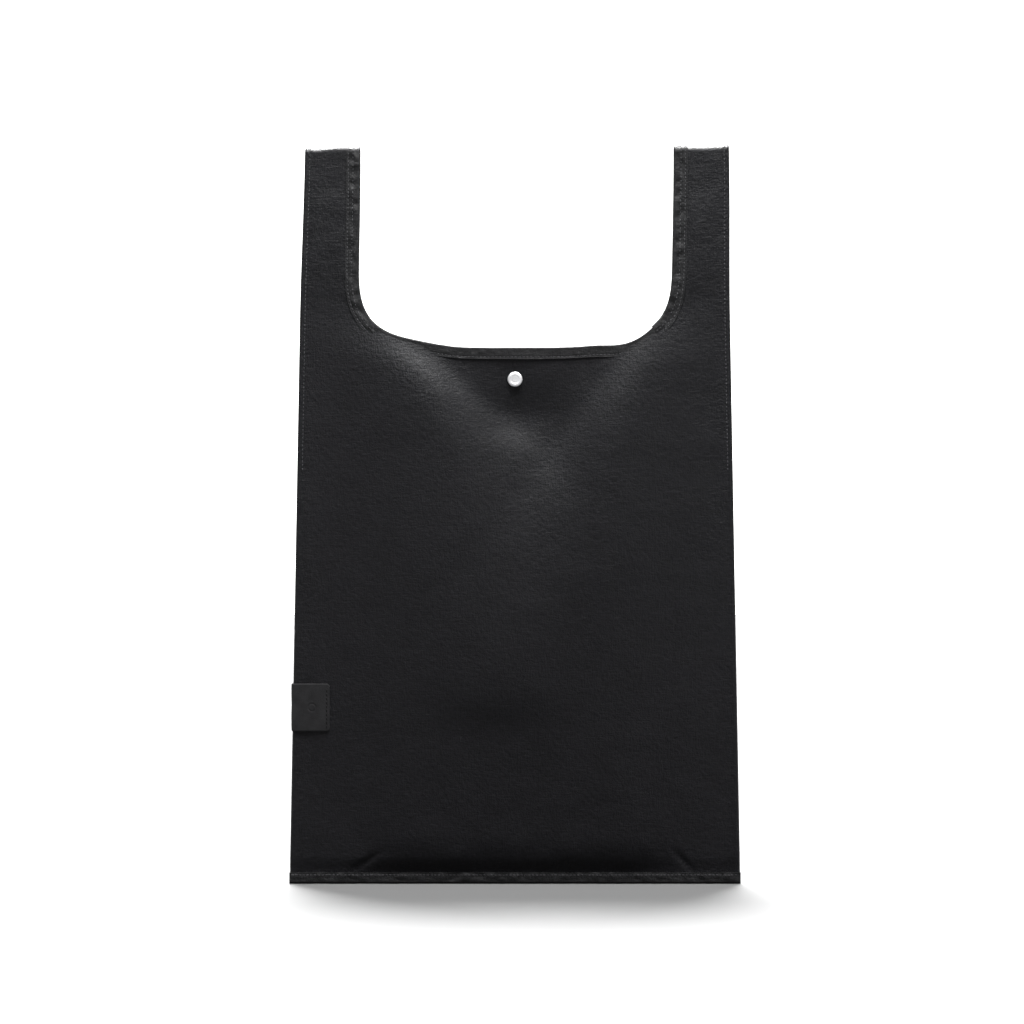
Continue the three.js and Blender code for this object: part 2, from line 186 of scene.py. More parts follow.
def neck_curve(count, reach_z):
    """Points of the neck's edge from the left to the right, up to height reach_z, evenly spaced, with
    the direction into the cloth at each."""
    angle = np.linspace(-math.pi / 2, math.pi / 2, 4001)
    x = np.sign(angle) * NECK_HALF * np.abs(np.sin(angle)) ** (2 / NECK_POWER)
    z = NECK_CENTRE - NECK_DEPTH * np.cos(angle) ** (2 / NECK_POWER) - neck_sag(x)
    keep = z <= reach_z
    x, z = x[keep], z[keep]
    run = run_along(x, z)
    even = np.linspace(0, run[-1], count)
    x, z = np.interp(even, run, x), np.interp(even, run, z)
    tangent = np.stack([np.gradient(x), np.gradient(z)], -1)
    tangent /= np.linalg.norm(tangent, axis=-1, keepdims=True)
    inward = np.stack([tangent[:, 1], -tangent[:, 0]], -1)
    return x, z, inward, even


# ---- how the cloth lies
def edge_rim(x, z):
    """The folded side edges: a low ridge along the stitching, and a turn inwards at the very edge."""
    inside = half_width(z) - np.abs(x)
    ridge = 0.35 * np.exp(-((inside - 1.6) / 1.5) ** 2)
    turn = -1.5 * (1 - np.clip(inside / 1.6, 0, 1)) ** 2
    return ridge + turn


def pucker_edge(x, z):
    """Slanted puckers along the stitched outer edges of the handles and shoulders."""
    inside = half_width(z) - np.abs(x)
    near = np.exp(-((inside - 3.6) / 2.6) ** 2)
    wave = np.sin((z + inside * 1.4 * np.sign(x)) * 2 * math.pi / 5.2 + 1.6 * noise(z / 14, 0, 5))
    return 0.16 * near * wave * smooth((z - 300) / 150)


def crinkle(x, z, seed):
    """Small soft unevenness of washed cloth."""
    broad = 0.45 * layered(x / 70, z / 85, seed, 2)
    fine = 0.11 * layered(x / 17, z / 13, seed + 9, 3)
    return broad + fine


def swell(s, reach):
    """A rise that starts softly at 0, is steepest there and levels off, as hanging cloth does."""
    start = 4 * np.log1p(np.exp(np.clip(s / 4, -30, 30)))
    return 1 - np.exp(-start / reach)


VEE_X = 24.0  # the two ridges meet here
LEFT_FOOT, LEFT_CLIMB, LEFT_STEP = 335.0, 0.805, 1.284  # height there, and climb and length for 1 mm across
RIGHT_FOOT, RIGHT_CLIMB, RIGHT_STEP = 324.0, 1.36, 1.688
BELLY_LOW, BELLY_GAIN = 5.0, 8.0  # the belly's depth above the seam, and what it gains on the way up
FULL_Z = 158.0  # low on the front the cloth stands fullest here
PINCH_REACH = 11.0  # the snap pulls the cloth in this far around


def from_seam(z, reach, power):
    """0 at the bottom seam, steepest there, and 1 from reach above it."""
    return 1 - (1 - np.clip((z - SEAM_TOP - 1) / reach, 0, 1)) ** power


def plain_depth(z):
    return smooth((z - SEAM_TOP - 1) / 12) * (PANEL_Y - SEAM_DEPTH) + SEAM_DEPTH


def snap_pinch(x, z):
    return np.exp(-((x - SNAP_X) ** 2 + (z - SNAP_Z) ** 2) / PINCH_REACH ** 2)


def held_by_edges(x, z):
    """0 at the bottom seam and the side edges, where the stitching keeps the cloth even."""
    return smooth((z - SEAM_TOP) / 14) * smooth((half_width(z) - np.abs(x)) / 12)


def front_depth(x, z):
    """The front: a belly that hangs from the two roots of the handles. Above the V between them the
    snap holds the cloth back."""
    left_over = (z - (LEFT_FOOT + (VEE_X - x) * LEFT_CLIMB)) / LEFT_STEP
    right_over = (z - (RIGHT_FOOT + (x - VEE_X) * RIGHT_CLIMB)) / RIGHT_STEP
    fall_left = swell(8 - left_over, 12 + 42 * smooth((x + 66) / 84))
    fall_right = swell(7 - right_over, 11 + 26 * smooth((84 - x) / 60))
    fall = 1 - (1 - fall_left) * (1 - fall_right)
    low_share = 1 - smooth((z - 30) / 120)
    across_low = 1 - smooth((np.abs(x) - 84) / 56)
    across_high = 1 - smooth((np.abs(x) - 62) / 104)
    across = across_low * low_share + across_high * (1 - low_share)
    shoulder = 1 - smooth((z - 412) / 58)
    depth = BELLY_LOW + BELLY_GAIN * smooth((z - 20) / 270)
    belly = depth * across * from_seam(z, 30, 2.4) * fall * shoulder
    hang = bump_at((z - FULL_Z) / np.where(z > FULL_Z, 135, 42))
    full = 3.4 * hang * bump_at((x + 12) / 74)
    hollow = -0.8 * bump_at((z - 300) / 60) * bump_at((x - 30) / 60)
    under_snap = -3.6 * bump_at((z - 374) / 36) * bump_at((x - 8) / 56) * (1 - fall)
    under_tape = 1.2 * bump_at((z - 426) / 20) * bump_at(x / 70)
    pinch = -0.5 * snap_pinch(x, z)
    calm_by_tape = 0.35 + 0.65 * smooth((neck_height(x) - 4 - z) / 20)
    wild = crinkle(x, z, 3) * held_by_edges(x, z) * calm_by_tape
    loose = belly + full + hollow + under_snap + under_tape + pinch + wild
    return plain_depth(z) + loose + seam_folds(x, z) + edge_rim(x, z) + pucker_edge(x, z)


def seam_folds(x, z):
    """Short folds above the bottom seam where the gussets end, and small tucks between them."""
    rise = z - SEAM_TOP
    left = -1.6 * np.exp(-((rise - 9 - (x + 119) * 0.52) / 3.0) ** 2) * bump_at((x + 118) / 17)
    right = -1.6 * np.exp(-((rise - 9 + (x - 135) * 0.95) / 3.0) ** 2) * bump_at((x - 134) / 12)
    tucks = 0.75 * layered(x / 23, z / 40, 21, 2) * np.exp(-((rise - 12) / 12) ** 2)
    return left + right + tucks * smooth((150 - np.abs(x)) / 30)


def back_depth(x, z):
    """The back: a flatter belly."""
    line = 350 + np.abs(x) * 0.84
    fall = 1 - smooth(((z - line) / 1.3 + 22) / 44)
    across = 1 - smooth((np.abs(x) - 40) / 120)
    belly = 3.1 * across * from_seam(z, 50, 2.2) * fall * (1 - smooth((z - 390) / 55))
    wild = 0.6 * crinkle(x, z, 43) * held_by_edges(x, z)
    pinch = -0.4 * snap_pinch(x, z)
    return plain_depth(z) + belly + wild + pinch + edge_rim(x, z) + pucker_edge(x, z)


# ---- mesh makers
def add_object(name, data):
    made = bpy.data.objects.new(name, data)
    bpy.context.scene.collection.objects.link(made)
    return made


def link(mesh, name, material):
    mesh.materials.append(material)
    return add_object(name, mesh)


def raw_mesh(name, points, faces, uv=None, sharp=60):
    """A smooth mesh from points in millimetres. uv has one pair for each point, in metres."""
    mesh = bpy.data.meshes.new(name)
    corners = [tuple(int(i) for i in face) for face in faces]
    mesh.from_pydata([tuple(p) for p in np.asarray(points) * MM], [], corners)
    if uv is not None:
        layer = mesh.uv_layers.new(name="cloth")
        corner = np.empty(len(mesh.loops), np.int32)
        mesh.loops.foreach_get("vertex_index", corner)
        layer.data.foreach_set("uv", (np.asarray(uv)[corner] * MM).astype(np.float32).ravel())
    mesh.polygons.foreach_set("use_smooth", np.ones(len(mesh.polygons), bool))
    mesh.set_sharp_from_angle(angle=math.radians(sharp))
    mesh.update()
    return mesh


def grid_normals(points):
    """Unit normals of a rows x columns grid of points."""
    normal = np.cross(np.gradient(points, axis=1), np.gradient(points, axis=0))
    return normal / np.maximum(np.linalg.norm(normal, axis=-1, keepdims=True), 1e-12)


def facing_out(points, flat, row, column, way):
    """The grid and its normals, turned over if the normal at row and column points against way."""
    normals = grid_normals(points)
    if np.dot(normals[row, column], way) < 0:
        points, flat = points[:, ::-1], flat[:, ::-1]
        normals = grid_normals(points)
    return points, flat, normals


def sheet_piece(name, points, flat_uv, thickness, material, trim=(0, 0), normals=None):
    """A closed sheet of cloth. points is the outer face, rows x columns, whose normals point out of the
    bag, and the inner face lies thickness behind it. trim is how many rows at the start and at the end
    only lend their normals."""
    if normals is None:
        normals = grid_normals(points)
    points, flat_uv, normals = (a[trim[0]:len(a) - trim[1]] for a in (points, flat_uv, normals))
    rows, columns = points.shape[:2]
    inner = points - normals * thickness
    index = np.arange(rows * columns).reshape(rows, columns)
    below = index + rows * columns

    def quads(i):
        return np.stack([i[:-1, :-1], i[:-1, 1:], i[1:, 1:], i[1:, :-1]], -1).reshape(-1, 4)

    faces = [quads(index), quads(below)[:, ::-1]]
    ring = np.concatenate([index[0, :-1], index[:-1, -1], index[-1, :0:-1], index[:0:-1, 0]])
    nxt = np.roll(ring, -1)
    faces.append(np.stack([nxt, ring, ring + rows * columns, nxt + rows * columns], -1))
    counts = [len(f) for f in faces]
    everything = np.concatenate([points.reshape(-1, 3), inner.reshape(-1, 3)])
    uv = np.concatenate([flat_uv.reshape(-1, 2)] * 2)
    mesh = raw_mesh(name, everything, np.concatenate(faces), uv)
    corner = np.empty(len(mesh.loops), np.int32)
    mesh.loops.foreach_get("vertex_index", corner)
    flat_normals = np.concatenate([normals.reshape(-1, 3), -normals.reshape(-1, 3)])[corner]
    flat_normals[4 * (counts[0] + counts[1]):] = 0
    mesh.normals_split_custom_set(flat_normals.tolist())
    piece = link(mesh, name, material)
    piece["flat_area"] = flat_area(flat_uv)
    return piece


def flat_area(uv):
    """Area in square metres of the sheet before it was sewn, from its flat coordinates in mm."""
    a, b, c, d = uv[:-1, :-1], uv[:-1, 1:], uv[1:, 1:], uv[1:, :-1]
    p, q = c - a, d - b
    return float(np.abs(p[..., 0] * q[..., 1] - p[..., 1] * q[..., 0]).sum() / 2 * MM * MM)


def declare_sheet(piece):
    """Reads the sheet's flat coordinates and removes the flat area stored on it."""
    uv = np.empty(len(piece.data.loops) * 2, np.float32)
    piece.data.uv_layers[0].data.foreach_get("uv", uv)
    del piece["flat_area"]


def follow_fold(piece):
    """Bakes the piece's placement into its mesh."""
    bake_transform(piece)


def follow_mouth(piece):
    """Bakes the piece's placement into its mesh and reads its vertex positions."""
    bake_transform(piece)
    place = np.empty(len(piece.data.vertices) * 3)
    piece.data.vertices.foreach_get("co", place)


def follow_handle(piece):
    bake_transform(piece)


# ---- materials
def new_material(name):
    material = bpy.data.materials.new(name)
    material.use_nodes = True
    tree = material.node_tree
    shader = next(node for node in tree.nodes if node.type == "BSDF_PRINCIPLED")
    return material, tree, shader


def give(made, **inputs):
    """Sets a node's inputs. A space in an input's name is written as an underscore."""
    for name, value in inputs.items():
        made.inputs[name.replace("_", " ")].default_value = value
    return made


def node(tree, kind, **inputs):
    return give(tree.nodes.new(kind), **inputs)


def flat_coordinates(tree, scale=(1, 1, 1)):
    """The sheet's own flat coordinates, in metres, so that the weave moves with the cloth."""
    uv = tree.nodes.new("ShaderNodeUVMap")
    uv.uv_map = "cloth"
    mapping = node(tree, "ShaderNodeMapping", Scale=scale)
    tree.links.new(uv.outputs["UV"], mapping.inputs["Vector"])
    return mapping.outputs["Vector"]


def noise_node(tree, vector, scale, detail=3.0, rough=0.55):
    made = node(tree, "ShaderNodeTexNoise", Scale=scale, Detail=detail, Roughness=rough)
    tree.links.new(vector, made.inputs["Vector"])
    return made.outputs["Fac"]


def math_node(tree, operation, a, b):
    made = tree.nodes.new("ShaderNodeMath")
    made.operation = operation
    for socket, value in zip(made.inputs, (a, b)):
        if isinstance(value, (int, float)):
            socket.default_value = value
        else:
            tree.links.new(value, socket)
    return made.outputs[0]


def ramp_node(tree, factor, stops):
    ramp = tree.nodes.new("ShaderNodeValToRGB")
    elements = ramp.color_ramp.elements
    while len(elements) < len(stops):
        elements.new(0.5)
    for element, (place, colour) in zip(elements, stops):
        element.position = place
        element.color = (*colour, 1)
    tree.links.new(factor, ramp.inputs["Fac"])
    return ramp.outputs["Color"]


def bump_node(tree, height, distance, strength, normal=None):
    bump = node(tree, "ShaderNodeBump", Strength=strength, Distance=distance)
    tree.links.new(height, bump.inputs["Height"])
    if normal is not None:
        tree.links.new(normal, bump.inputs["Normal"])
    return bump.outputs["Normal"]


def woven(name, dark, light, pitch):
    """Plain weave of threads pitch apart, in metres, with slubs, a washed unevenness and a faint nap."""
    material, tree, shader = new_material(name)
    plain = flat_coordinates(tree)
    waves = []
    for direction in ("X", "Y"):
        wave = node(tree, "ShaderNodeTexWave", Scale=0.314 / pitch, Distortion=0.6, Detail=1.0)
        give(wave, Detail_Scale=2.0).bands_direction = direction
        tree.links.new(plain, wave.inputs["Vector"])
        waves.append(wave.outputs["Fac"])
    weave = math_node(tree, "MULTIPLY", waves[0], waves[1])
    across = noise_node(tree, flat_coordinates(tree, (160, 900, 1)), 1.0, 2.0)
    down = noise_node(tree, flat_coordinates(tree, (900, 160, 1)), 1.0, 2.0)
    slubs = math_node(tree, "ADD", across, down)
    washed = noise_node(tree, plain, 34.0, 5.0, 0.6)
    mixed = math_node(tree, "MULTIPLY", slubs, 0.42)
    mixed = math_node(tree, "ADD", mixed, math_node(tree, "MULTIPLY", washed, 0.20))
    mixed = math_node(tree, "ADD", mixed, math_node(tree, "MULTIPLY", weave, 0.12))
    tree.links.new(ramp_node(tree, mixed, [(0.34, dark), (0.70, light)]), shader.inputs["Base Color"])
    roughness = math_node(tree, "ADD", math_node(tree, "MULTIPLY", washed, 0.06), 0.47)
    tree.links.new(roughness, shader.inputs["Roughness"])
    give(shader, Specular_IOR_Level=0.095)
    nap = noise_node(tree, plain, 300.0, 4.0, 0.66)
    normal = bump_node(tree, slubs, 0.00026, 0.8)
    normal = bump_node(tree, weave, 0.00012, 0.6, normal)
    normal = bump_node(tree, nap, 0.0010, 0.6, normal)
    tree.links.new(normal, shader.inputs["Normal"])
    return material


def thread_material(name, dark, light):
    """Twisted sewing thread, with painted shade in the twist's hollows."""
    material, tree, shader = new_material(name)
    coordinates = tree.nodes.new("ShaderNodeTexCoord")
    twist = noise_node(tree, coordinates.outputs["Object"], 900.0, 2.0)
    # painted shade: the colour is darkest where the twist's bump is lowest, in its hollows
    colour = ramp_node(tree, twist, [(0.35, dark), (0.7, light)])
    tree.links.new(colour, shader.inputs["Base Color"])
    give(shader, Roughness=0.62, Specular_IOR_Level=0.07)
    tree.links.new(bump_node(tree, twist, 0.0002, 0.6), shader.inputs["Normal"])
    return material


def leather_material():
    """Smooth black leather: fine pebbled grain, hairline creases and a soft uneven gloss."""
    material, tree, shader = new_material("black_leather")
    plain = flat_coordinates(tree)
    grain = tree.nodes.new("ShaderNodeTexVoronoi")
    grain.feature = "SMOOTH_F1"
    give(grain, Scale=1500.0, Smoothness=0.5)
    tree.links.new(plain, grain.inputs["Vector"])
    clouds = noise_node(tree, plain, 120.0, 5.0, 0.6)
    creases = noise_node(tree, flat_coordinates(tree, (500, 130, 1)), 1.0, 4.0, 0.7)
    colour = ramp_node(tree, clouds, [(0.3, (0.0048, 0.0048, 0.0051)), (0.75, (0.0090, 0.0090, 0.0095))])
    tree.links.new(colour, shader.inputs["Base Color"])
    rough = math_node(tree, "ADD", math_node(tree, "MULTIPLY", clouds, 0.25), 0.36)
    tree.links.new(rough, shader.inputs["Roughness"])
    give(shader, Specular_IOR_Level=0.08)
    normal = bump_node(tree, grain.outputs["Distance"], 0.0002, 0.35)
    normal = bump_node(tree, creases, 0.0003, 0.3, normal)
    tree.links.new(normal, shader.inputs["Normal"])
    return material


def metal_material():
    """Satin nickel with fine turned lines and faint handling marks."""
    material, tree, shader = new_material("satin_nickel")
    coordinates = tree.nodes.new("ShaderNodeTexCoord")
    marks = noise_node(tree, coordinates.outputs["Object"], 700.0, 5.0, 0.65)
    colour = ramp_node(tree, marks, [(0.3, (0.50, 0.50, 0.51)), (0.75, (0.66, 0.66, 0.67))])
    tree.links.new(colour, shader.inputs["Base Color"])
    give(shader, Metallic=1.0)
    rough = math_node(tree, "ADD", math_node(tree, "MULTIPLY", marks, 0.2), 0.32)
    tree.links.new(rough, shader.inputs["Roughness"])
    tree.links.new(bump_node(tree, marks, 0.00004, 0.4), shader.inputs["Normal"])
    return material


CLOTH_LOOK = woven("black_cloth", (0.0002, 0.0002, 0.0004), (0.0026, 0.0026, 0.0034), 0.0006)
TAPE_LOOK = woven("black_tape", (0.0009, 0.0009, 0.0010), (0.0068, 0.0068, 0.0073), 0.0008)
THREAD_LOOK = thread_material("sewing_thread", (0.012, 0.012, 0.0128), (0.036, 0.036, 0.038))
DARK_THREAD_LOOK = thread_material("waxed_thread", (0.0004, 0.0004, 0.0005), (0.0016, 0.0016, 0.0018))
LEATHER_LOOK = leather_material()
METAL_LOOK = metal_material()


# ---- panels
GRID = 2.3  # spacing of the cloth's mesh


def steps(length, spacing=GRID):
    return max(2, int(round(length / spacing)))


SEAM_HOLD = 1.8  # the panels' lower edges sit this high inside the bottom seam
EDGE_COLUMNS = np.array([0.45, 1.0, 1.7, 2.6])  # columns this far from a side edge keep its turn smooth


def panel(name, low, high, depth, side, trim, cut):
    """The cloth of a panel between two heights. Where cut, its upper edge follows the neck. trim is how
    many rows more are made at the start and at the end, to lend their normals."""
    count = steps(2 * half_width((low + high) / 2)) + 1
    u = np.linspace(-1, 1, count)
    near = 1 - EDGE_COLUMNS / half_width(low)
    u = np.unique(np.concatenate([u[1:-1], [-1, 1], near, -near]))
    if cut:
        corner = inner_edge(high, NECK_INSET) / half_width(high)
        u = np.unique(np.concatenate([u, [-corner, corner]]))
    rows = steps(high - low)
    top = np.full_like(u, high)
    for _ in range(4 if cut else 0):
        x = u * half_width(top)
        in_neck = np.abs(x) < inner_edge(high, NECK_INSET) + 0.01
        top = np.where(in_neck, np.minimum(high, neck_height(x, NECK_INSET)), high)
    v = np.arange(-trim[0], rows + 1 + trim[1])[:, None] / rows
    z = low + (top[None, :] - low) * v
    x = u[None, :] * half_width(z)
    points = np.stack([x, side * depth(x, z), z], -1)
    flat = np.stack([x, z], -1)
    if side > 0:
        points = points[:, ::-1]
        flat = np.stack([-x, z], -1)[:, ::-1] + np.array([1000.0, 0])
    return sheet_piece(name, points, flat, CLOTH, CLOTH_LOOK, trim)


front_lower = panel("front_cloth_lower", SEAM_HOLD, MOUTH_Z, front_depth, -1, (0, 1), False)
front_upper = panel("front_cloth_upper", MOUTH_Z, ROOT_Z, front_depth, -1, (1, 1), True)
back_cloth = panel("back_cloth", SEAM_HOLD, ROOT_Z, back_depth, 1, (0, 1), True)


# ---- gussets
SEAM_MOUTH = 0.9  # half the gap that a gusset's open side leaves in the bottom seam


def gusset(side):
    """Cloth folded inwards as a V between the panels' side edges, front wall and back wall in one."""
    rows = steps(GUSSET_TOP - SEAM_HOLD, 5)
    z = np.linspace(SEAM_HOLD, GUSSET_TOP, rows + 1)[:, None]
    t = np.linspace(-1, 1, 61)[None, :]
    mouth = SEAM_MOUTH + (PANEL_Y - 1.9 - SEAM_MOUTH) * smooth((z - SEAM_TOP) / 20)
    run = 1 - np.abs(t)
    inward = GUSSET_DEPTH * np.sqrt(np.clip(run ** 2 + 0.0004, 0, None))
    x = half_width(z) - 0.9 - inward + 0.35 * layered(t * 3, z / 60, 60, 2) * run
    y = mouth * np.sign(t) * np.abs(t) ** 0.8 + 0.22 * layered(t * 4 + 9, z / 45, 66, 2) * run
    points = np.stack([SIDES[side] * x, y, z + 0 * t], -1)
    flat = np.stack([t * GUSSET_DEPTH + 0 * z + 2000, z + 0 * t], -1)
    if side == "left":
        points, flat = points[:, ::-1], flat[:, ::-1]
    return sheet_piece(f"{side}_gusset", points, flat, CLOTH, CLOTH_LOOK)


gussets = {side: gusset(side) for side in SIDES}


# ---- handles
LOOP_RADIUS = HANDLE_Y - 0.2
CROWN_Z = BAG_TOP - LOOP_RADIUS
LOOP_ARC = math.pi * LOOP_RADIUS
STRAIGHT = CROWN_Z - ROOT_Z  # each leg of the loop, from its root to where the bend starts
LOOP_RUN = 2 * STRAIGHT + LOOP_ARC
LEAN = 1.6  # both handles lean a little to the right at the top
SIDE_SAG = {"left": 1.6, "right": 0.2}  # how far the top of each handle hangs below a full loop
HANDLE_SEEDS = {"left": -1, "right": 1}
ROOT_REACH = 26.0  # above ROOT_Z the panels' depth fades out of a handle over this height
TOP_LOW, TOP_REACH = 560.0, 30.0  # the top of a handle starts to hang here, and fully does past the reach


def lean(z):
    return LEAN * smooth((z - ROOT_Z) / 130)


def near_top(z):
    return smooth((z - TOP_LOW) / TOP_REACH)


def bend_angle(run):
    """How far round the bend at the top of the loop: 0 up the front, pi down the back."""
    return np.clip((run - STRAIGHT) / LOOP_RADIUS, 0, math.pi)


def loop_station(run):
    """Place on the handle's loop at distance run up its front from ROOT_Z: height, and y."""
    angle = bend_angle(run)
    back_run = np.clip(run - STRAIGHT - LOOP_ARC, 0, None)
    height = ROOT_Z + np.minimum(run, STRAIGHT) + LOOP_RADIUS * np.sin(angle) - back_run
    depth = PANEL_Y + (LOOP_RADIUS - PANEL_Y) * smooth((height - ROOT_Z) / 40)
    return height, -depth * np.cos(angle)


def loop_normal(run):
    angle = bend_angle(run)
    return np.stack([0 * angle, -np.cos(angle), np.sin(angle)], -1)


def root_offset(side, x, z, run):
    """How far the handle stands out of its plain loop where it grows out of the panels."""
    x = SIDES[side] * x
    held = np.where(run < LOOP_RUN / 2, front_depth(x, z), back_depth(x, z)) - PANEL_Y
    return held * (1 - smooth((z - ROOT_Z) / ROOT_REACH))


def handle(side):
    """The cloth of one handle: up the front, over the top and down the back. It starts and ends with
    the panels' own depth, so that the cloth carries on through."""
    sign, seed = SIDES[side], HANDLE_SEEDS[side]
    rise = np.arange(-2.2, STRAIGHT, 2.2)
    over = np.linspace(STRAIGHT, STRAIGHT + LOOP_ARC, 15)
    run = np.concatenate([rise, over, LOOP_RUN - rise[::-1]])[:, None]
    z, y = loop_station(run)
    outer = half_width(z)
    inner = inner_edge(z, NECK_INSET)
    near_edge = 1 - np.array([0.3, 0.7, 1.2, 1.8, 2.6, 3.6, 4.8, 6.0]) / 45
    u = np.unique(np.concatenate([np.linspace(0, 1, 21), near_edge]))[None, :]
    x = inner + (outer - inner) * u
    root = smooth((z - ROOT_Z) / ROOT_REACH)
    sag = 0.9 * np.sin(u * 3.0 + seed) + 0.5 * noise(run / 34, 3 * u, 70 + seed)
    ripple = 0.34 * layered(u * 2.2, run / 15, 77 + seed, 3)
    roll = 0.8 * bump_at((z - 520) / 60) * np.sin(u * 2.6 + 0.4)
    loose = (ripple + roll) * smooth((outer - x) / 8) * smooth((x - inner - 5) / 12)
    out = (loose + edge_rim(x, z) + pucker_edge(x, z)) * root + root_offset(side, x, z, run)
    normal = loop_normal(run[:, 0])[:, None, :]
    points = np.stack([sign * x, y + 0 * x, z + 0 * x], -1) + normal * out[..., None]
    points[..., 2] -= (sag * smooth((x - inner - 3) / 8) + SIDE_SAG[side]) * near_top(z)
    points[..., 0] += lean(z)
    flat = np.stack([sign * x, ROOT_Z + run + 0 * x], -1)
    if side == "left":
        points, flat = points[:, ::-1], flat[:, ::-1]
    return sheet_piece(f"{side}_handle_cloth", points, flat, STRAP, CLOTH_LOOK, trim=(1, 1))


handles = {side: handle(side) for side in SIDES}


# ---- bindings
TAPE_STAND = 0.72  # a tape's face stands this far off what it holds
STITCH_INSET = 1.6  # rows of stitches run this far from a tape's edge
HANDLE_TAPE_WIDTH = 10.5


def folded_tape(name, tape_line, width, hold, pucker, seed):
    """A tape folded over a cloth edge. The line gives a point, the direction into the cloth, the face's
    normal and the run at each station. hold is the thickness of what the tape holds."""
    edge, inward, outward, run = tape_line
    leg = hold / 2 + TAPE_STAND
    across = np.concatenate([np.linspace(width, 1.0, 12), np.linspace(1.0, -0.35, 4)[1:]])
    height = np.concatenate([np.full(12, 1.0), [0.97, 0.8, 0.45]])
    across = np.concatenate([across, across[::-1]])[None, :]
    height = np.concatenate([height, -height[::-1]])[None, :] * leg
    arc = run_along(across[0], height[0])[None, :]
    side = np.sign(height)
    along = run[:, None]
    share = np.clip(across / width, 0, 1)
    wave = layered(along / 5.2, across / 7.0 + side, seed, 2) * bump_at((share - 0.42) / 0.62)
    seam_line = np.exp(-((across - width + STITCH_INSET) / 0.6) ** 2)
    lift = side * (pucker * wave - 0.26 * seam_line + 0.08 * bump_at((across - width) / 1.1))
    slide = 0.25 * noise(along / 22, side, seed + 3) * share
    points = (edge[:, None, :] + inward[:, None, :] * (across + slide)[..., None]
              + outward[:, None, :] * (height + lift)[..., None])
    flat = np.stack([along + 0 * arc + 3000, arc + 0 * along], -1)
    middle = len(points) // 2
    points, flat, normals = facing_out(points, flat, middle, 2, outward[middle])
    return sheet_piece(name, points, flat, TAPE, TAPE_LOOK, normals=normals)


def neck_tape(name, depth, face, reach, seed):
    x, z, inward, run = neck_curve(steps(2 * NECK_HALF + 60, 1.6), reach)
    edge = np.stack([x, face * (depth(x, z) - CLOTH / 2), z], -1)
    into = np.stack([inward[:, 0], 0 * x, inward[:, 1]], -1)
    out = np.tile([0.0, face, 0.0], (len(x), 1))
    tape_line = edge, into, out, run
    return folded_tape(name, tape_line, BINDING_WIDTH, CLOTH, 0.26, seed), tape_line


front_tape, front_tape_line = neck_tape("neckline_tape_front", front_depth, -1, ROOT_Z + 6, 80)
back_tape, back_tape_line = neck_tape("neckline_tape_back", back_depth, 1, ROOT_Z + 2, 84)


def handle_tape(side):
    """The tape round a handle's inner edge, from the front of the root over the top to the back."""
    lead = 5.0
    run = np.arange(-lead, LOOP_RUN + lead, 1.6)
    z, y = loop_station(np.clip(run, 0, LOOP_RUN))
    z = z + np.minimum(run, 0) - np.maximum(run - LOOP_RUN, 0)
    x = inner_edge(z)
    out = loop_normal(run)
    tangent = np.stack([np.gradient(SIDES[side] * x), np.gradient(y), np.gradient(z)], -1)
    tangent /= np.linalg.norm(tangent, axis=-1, keepdims=True)
    into = np.cross(tangent, out)
    into *= np.sign(into[:, :1] * SIDES[side])
    stand = root_offset(side, x + 4, z, run) - STRAP / 2
    edge = np.stack([SIDES[side] * x, y, z], -1) + out * stand[:, None]
    edge[:, 2] -= SIDE_SAG[side] * near_top(z)
    edge[:, 0] += lean(z)
    tape_line = edge, into, out, run
    seed = 90 + HANDLE_SEEDS[side]
    return folded_tape(f"{side}_handle_tape", tape_line, HANDLE_TAPE_WIDTH, STRAP, 1.0, seed), tape_line


handle_tapes = {side: handle_tape(side) for side in SIDES}


# ---- bottom seam
SEAM_CORNER = 1.6
SEAM_STITCH_Z = 6.9


def bottom_tape():
    """The tape folded round the panels' lower edges."""
    count = steps(2 * SEAM_HALF, 1.7)
    x = np.linspace(-SEAM_HALF, SEAM_HALF, count + 1)
    arc = np.linspace(-math.pi / 2, 0, 5)
    right_y = SEAM_Y - SEAM_CORNER + SEAM_CORNER * np.cos(arc)
    right_z = SEAM_CORNER + SEAM_CORNER * np.sin(arc)
    side_z = np.linspace(SEAM_CORNER, SEAM_TOP, 9)[1:]
    y = np.concatenate([-np.full(8, SEAM_Y), -right_y[::-1], right_y, np.full(8, SEAM_Y)])
    z = np.concatenate([side_z[::-1], right_z[::-1], right_z, side_z])
    arc_length = run_along(y, z)
    along, side = x[:, None], np.sign(y)[None, :]
    share = np.clip((z - SEAM_CORNER) / (SEAM_TOP - SEAM_CORNER), 0, 1)[None, :]
    wave = 0.50 * layered(along / 6.5, z[None, :] / 6 + side, 101, 3) * smooth(share / 0.25)
    stitch_line = -0.22 * np.exp(-((z[None, :] - SEAM_STITCH_Z) / 0.5) ** 2)
    pull = -0.3 * smooth((share - 0.7) / 0.3)
    out = wave + stitch_line + pull
    points = np.stack([along + 0 * out, y[None, :] + side * out, z[None, :] + 0 * out], -1)
    points[..., 2] += 0.22 * noise(along / 13, side, 104) * (share > 0.95)
    flat = np.stack([along + 0 * out + 4000, arc_length[None, ::-1] + 0 * out], -1)
    points, flat, normals = facing_out(points[:, ::-1], flat, count // 2, -2, (0, -1, 0))
    return sheet_piece("bottom_tape", points, flat, SEAM_TAPE, TAPE_LOOK, normals=normals)


seam_tape = bottom_tape()


